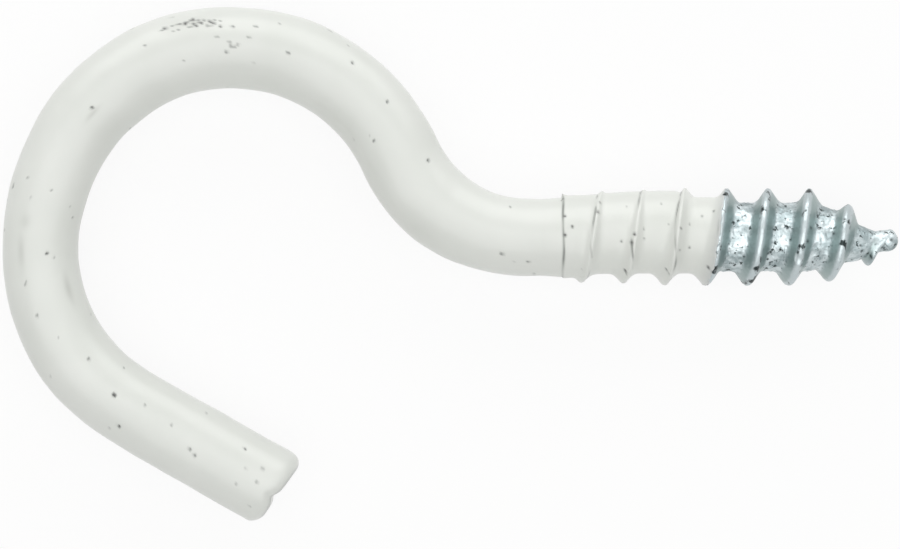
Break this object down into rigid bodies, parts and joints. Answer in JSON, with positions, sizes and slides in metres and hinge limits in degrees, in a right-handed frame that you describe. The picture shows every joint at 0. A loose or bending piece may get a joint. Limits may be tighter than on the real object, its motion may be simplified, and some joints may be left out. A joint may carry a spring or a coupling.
{
  "type": "screw hook",
  "caption": "Open screw hook of bent steel wire, dipped in white plastic, with a bare wood-screw thread and pointed tip.",
  "frame": {"origin": "on the screw axis, at the shoulder where the plain shank ends and the thread begins", "axes": "+X along the screw axis towards its point, +Y up from the axis on the side where the hook's crown bends, +Z square to the flat hook; the hook lies flat"},
  "size_m": [0.0497, 0.0286, 0.0056],
  "materials": {
    "zinc_plated_steel": "dull zinc plate on a rolled thread, blue-grey, pitted",
    "white_plastic_coat": "dipped white vinyl, satin gloss, with pinholes and worn spots"
  },
  "bodies": {
    "root": {"steel_hook": "zinc_plated_steel", "white_coating": "white_plastic_coat"}
  },
  "joints": []
}
